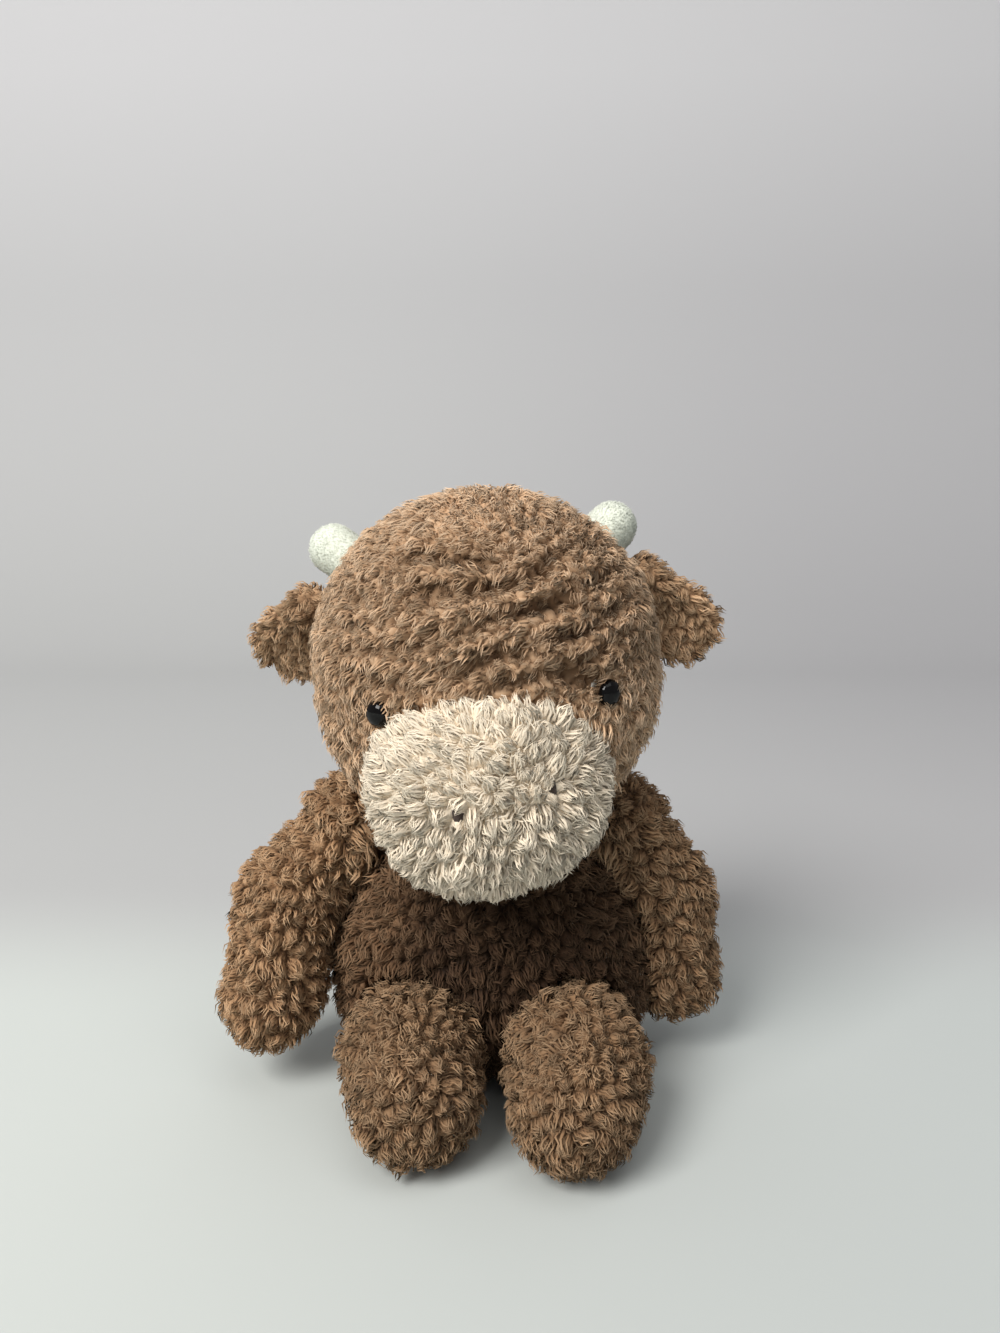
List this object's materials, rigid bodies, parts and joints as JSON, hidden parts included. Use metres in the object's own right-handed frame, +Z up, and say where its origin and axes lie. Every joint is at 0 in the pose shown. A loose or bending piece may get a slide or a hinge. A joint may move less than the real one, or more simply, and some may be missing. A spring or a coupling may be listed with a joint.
{
  "type": "sitting plush cow",
  "caption": "Sitting stuffed toy cow in brown curly pile, with a cream muzzle, drooping ears, short white horns, glossy safety eyes, and limbs that swing at the seams.",
  "frame": {"origin": "middle of the flat patch that the seat is pressed to, on the surface that the toy sits on", "axes": "+Z up, longest way of the toy; the face looks along -Y; the toy's own left side is +X"},
  "size_m": [0.1738, 0.1299, 0.1988],
  "materials": {
    "head_pile": "short wavy pile, matte",
    "body_pile": "curly pile, matte",
    "limb_pile": "curly pile, matte",
    "ear_pile": "short pile, matte",
    "muzzle_pile": "long soft pile, matte",
    "horn_pile": "very short dense pile, matte",
    "eye_plastic": "polished",
    "washer_plastic": "as moulded",
    "nostril_thread": "satin stitches",
    "stuffing": "loose fibre",
    "pouch_cloth": "plain woven"
  },
  "bodies": {
    "torso": {"body_cover": "body_pile", "body_stuffing": "stuffing", "bean_pouch": "pouch_cloth"},
    "head": {"head_cover": "head_pile", "head_stuffing": "stuffing", "muzzle_cover": "muzzle_pile", "muzzle_stuffing": "stuffing", "horn_left_cover": "horn_pile", "horn_left_stuffing": "stuffing", "eye_left": "eye_plastic", "eye_washer_left": "washer_plastic", "nostril_left": "nostril_thread", "horn_right_cover": "horn_pile", "horn_right_stuffing": "stuffing", "eye_right": "eye_plastic", "eye_washer_right": "washer_plastic", "nostril_right": "nostril_thread"},
    "ear_left": {"ear_left_front": "ear_pile", "ear_left_back": "ear_pile"},
    "ear_right": {"ear_right_front": "ear_pile", "ear_right_back": "ear_pile"},
    "arm_left": {"arm_left_cover": "limb_pile", "arm_left_stuffing": "stuffing"},
    "arm_right": {"arm_right_cover": "limb_pile", "arm_right_stuffing": "stuffing"},
    "leg_left": {"leg_left_cover": "limb_pile", "leg_left_stuffing": "stuffing"},
    "leg_right": {"leg_right_cover": "limb_pile", "leg_right_stuffing": "stuffing"},
    "tail": {"tail": "body_pile", "tail_tuft": "body_pile"}
  },
  "joints": [
    {"name": "head_nod", "type": "hinge", "parent": "torso", "child": "head", "pos_m": [0, 0.002, 0.076], "axis": [-1, 0, 0], "range_deg": [0, 25]},
    {"name": "ear_left_flap", "type": "hinge", "parent": "head", "child": "ear_left", "pos_m": [0.05275, 0.01491, 0.16702], "axis": [0.7607, 0, 0.6491], "range_deg": [-10, 15], "stiffness_Nm_per_rad": 0.02},
    {"name": "ear_right_flap", "type": "hinge", "parent": "head", "child": "ear_right", "pos_m": [-0.062, 0.00749, 0.15797], "axis": [0.846, 0, -0.5332], "range_deg": [-10, 15], "stiffness_Nm_per_rad": 0.02},
    {"name": "arm_left_swing", "type": "hinge", "parent": "torso", "child": "arm_left", "pos_m": [0.0435, 0, 0.0858], "axis": [0, -1, 0], "range_deg": [0, 70]},
    {"name": "arm_right_swing", "type": "hinge", "parent": "torso", "child": "arm_right", "pos_m": [-0.049, 0, 0.0858], "axis": [0, 1, 0], "range_deg": [0, 70]},
    {"name": "leg_left_swing", "type": "hinge", "parent": "torso", "child": "leg_left", "pos_m": [0.027, -0.029, 0.0215], "axis": [-1, 0, 0], "range_deg": [-60, 12]},
    {"name": "leg_right_swing", "type": "hinge", "parent": "torso", "child": "leg_right", "pos_m": [-0.027, -0.029, 0.0215], "axis": [-1, 0, 0], "range_deg": [-60, 12]},
    {"name": "tail_swing", "type": "hinge", "parent": "torso", "child": "tail", "pos_m": [0, 0.0385, 0.034], "axis": [1, 0, 0], "range_deg": [0, 80]}
  ]
}
